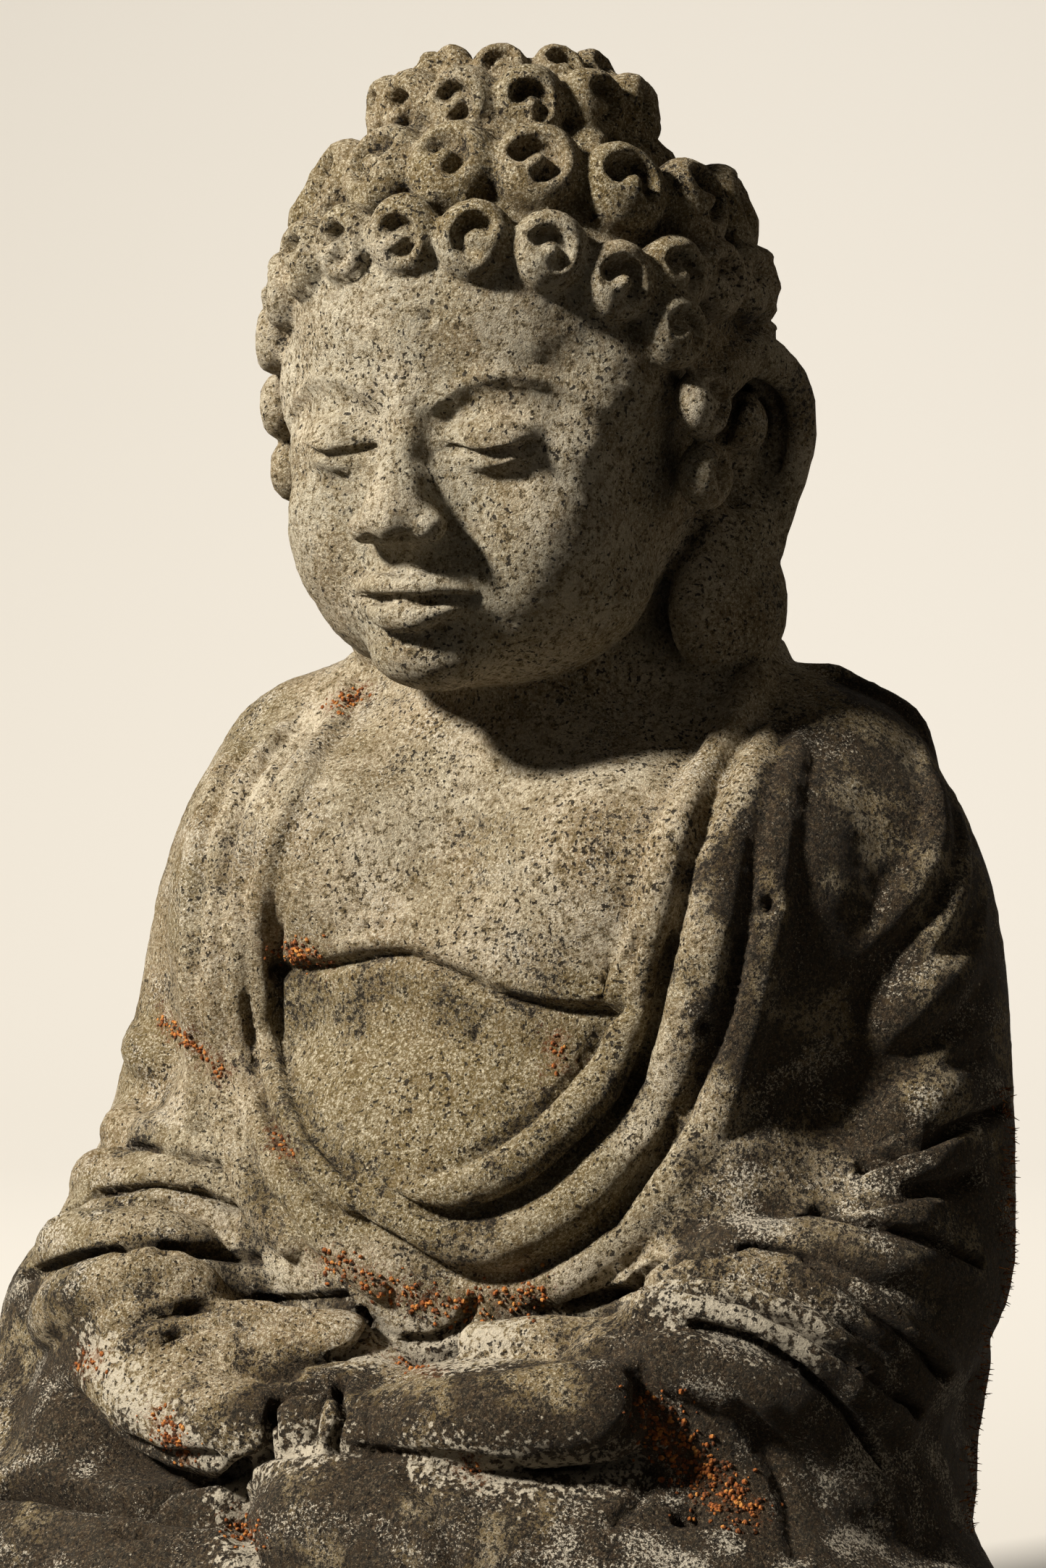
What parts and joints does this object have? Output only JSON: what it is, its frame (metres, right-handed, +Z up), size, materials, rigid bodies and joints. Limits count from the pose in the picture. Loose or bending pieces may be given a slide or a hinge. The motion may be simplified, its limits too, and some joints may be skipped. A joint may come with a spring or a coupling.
{
  "type": "seated buddha statue",
  "caption": "Cast stone garden figure seated cross-legged in meditation, robed, hands in the lap, on a low rounded base.",
  "frame": {"origin": "centre of the bounding box's underside, on the flat underside of the base", "axes": "+Z up, the figure faces -Y, and +X is towards its own left hand"},
  "size_m": [0.4439, 0.284, 0.5897],
  "materials": {
    "cast_stone": "weathered, pitted cast stone with lichen, algae and moss"
  },
  "bodies": {
    "root": {"seated_buddha": "cast_stone"}
  },
  "joints": []
}
